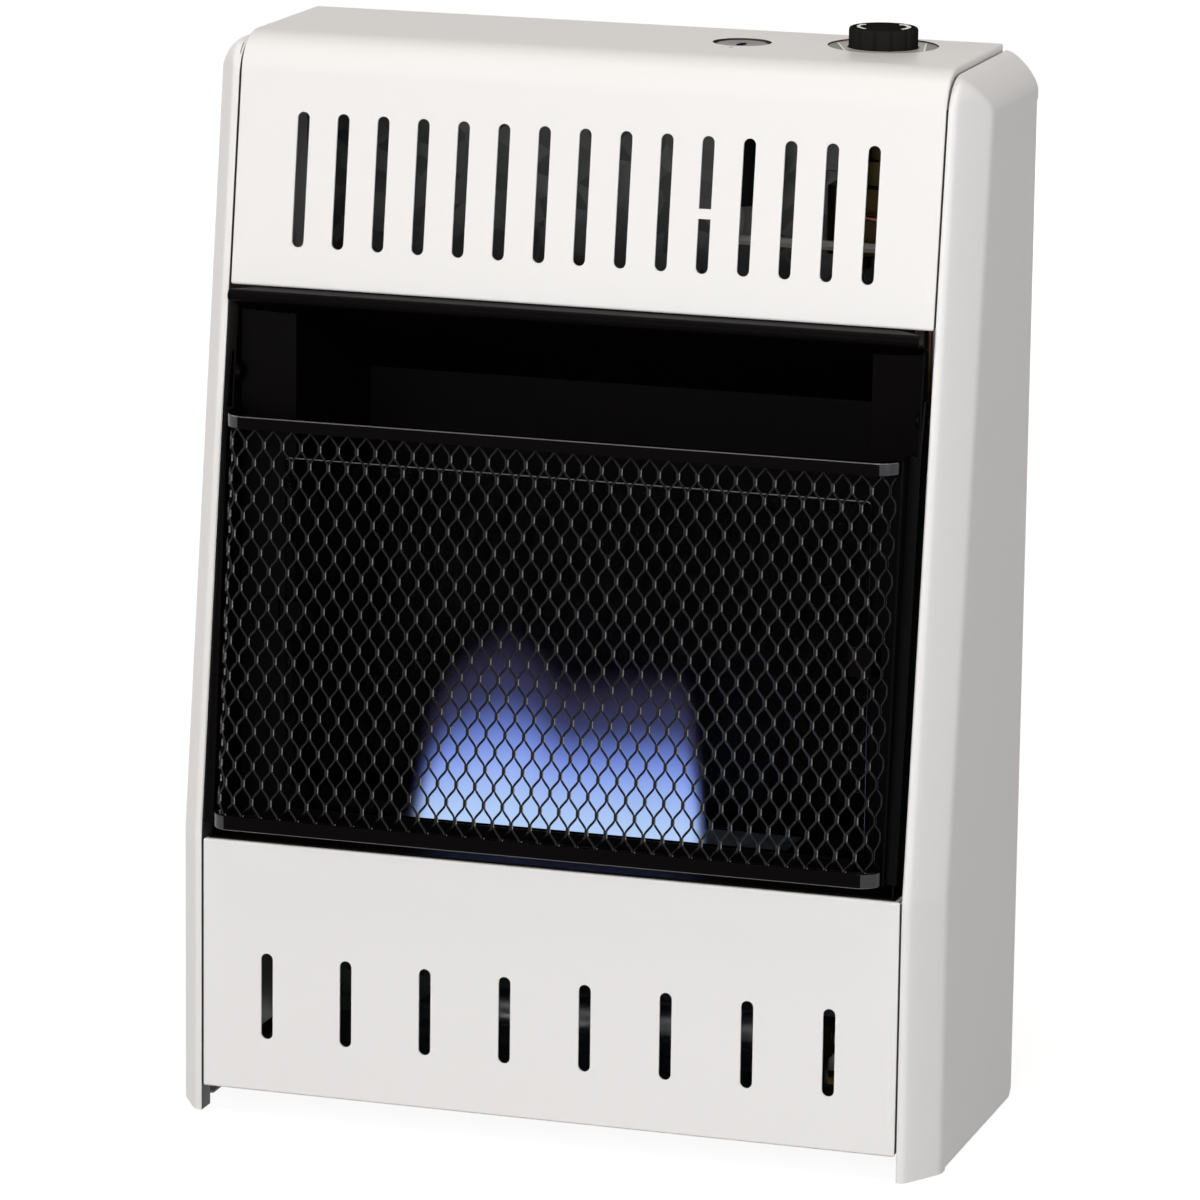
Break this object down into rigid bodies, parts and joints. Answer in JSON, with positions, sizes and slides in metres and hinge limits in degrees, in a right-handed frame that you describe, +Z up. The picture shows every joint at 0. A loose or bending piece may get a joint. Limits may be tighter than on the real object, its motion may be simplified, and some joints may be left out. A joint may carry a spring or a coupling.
{
  "type": "vent-free gas wall heater",
  "caption": "Wall-mounted vent-free gas heater: white slotted steel cabinet, black mesh guard over a glazed blue-flame firebox, push-and-turn knob and recessed igniter button on top.",
  "frame": {"origin": "on the floor, midway across the width and midway between the wall face and the guard foot", "axes": "+X along the width to the side with the knob, +Y towards the wall, +Z up; the guard faces -Y"},
  "size_m": [0.3806, 0.1704, 0.5265],
  "materials": {
    "white_paint": "glossy white powder coat",
    "black_paint": "satin heat-resistant black",
    "galvanised": "zinc-coated sheet",
    "brass": "machined",
    "aluminium": "drawn",
    "black_plastic": "moulded",
    "dial_grey": "printed",
    "ceramic": "white ceramic insulator",
    "copper": "copper",
    "silicone": "silicone sleeve",
    "glass": "tempered, clear"
  },
  "bodies": {
    "cabinet": {"upper_casing": "white_paint", "lower_front_panel": "white_paint", "right_side_panel": "white_paint", "left_side_panel": "white_paint", "right_glass_clip": "black_paint", "left_glass_clip": "black_paint", "right_guard_screw": "black_paint", "left_guard_screw": "black_paint", "right_firebox_side": "black_paint", "left_firebox_side": "black_paint", "firebox_back": "black_paint", "firebox_hood": "black_paint", "firebox_floor": "black_paint", "glass_channel": "black_paint", "guard_mesh": "black_paint", "guard_top_rail": "black_paint", "guard_bottom_rail": "black_paint", "right_guard_plate": "black_paint", "left_guard_plate": "black_paint", "back_panel": "galvanised", "base_tray": "galvanised", "burner_left_bracket": "galvanised", "burner_right_bracket": "galvanised", "pilot_bracket": "galvanised", "valve_bracket": "galvanised", "injector": "brass", "injector_holder": "brass", "pilot_burner": "brass", "gas_valve": "brass", "supply_nut": "brass", "burner_nut": "brass", "inlet_fitting": "brass", "burner_tube": "aluminium", "mixing_tube": "aluminium", "regulator": "aluminium", "supply_pipe": "aluminium", "burner_pipe": "aluminium", "pilot_pipe": "aluminium", "igniter_body": "black_plastic", "dial_plate": "dial_grey", "pilot_electrode": "ceramic", "thermocouple": "copper", "sensor_lead": "copper", "igniter_lead": "silicone", "window_glass": "glass"},
    "valve_plug": {"valve_plug": "brass"},
    "knob": {"control_knob": "black_plastic", "valve_stem": "galvanised"},
    "igniter_button": {"igniter_button": "dial_grey"}
  },
  "joints": [
    {"name": "knob_turn", "type": "hinge", "parent": "cabinet", "child": "valve_plug", "pos_m": [0.1217, 0.05615, 0.5], "axis": [0, 0, 1], "range_deg": [0, 240]},
    {"name": "knob_push", "type": "slide", "parent": "valve_plug", "child": "knob", "axis": [0, 0, -1], "range_m": [0, 0.005], "stiffness_N_per_m": 600, "springref_m": -0.003},
    {"name": "igniter_push", "type": "slide", "parent": "cabinet", "child": "igniter_button", "axis": [0, 0, -1], "range_m": [0, 0.006], "stiffness_N_per_m": 900, "springref_m": -0.003}
  ]
}
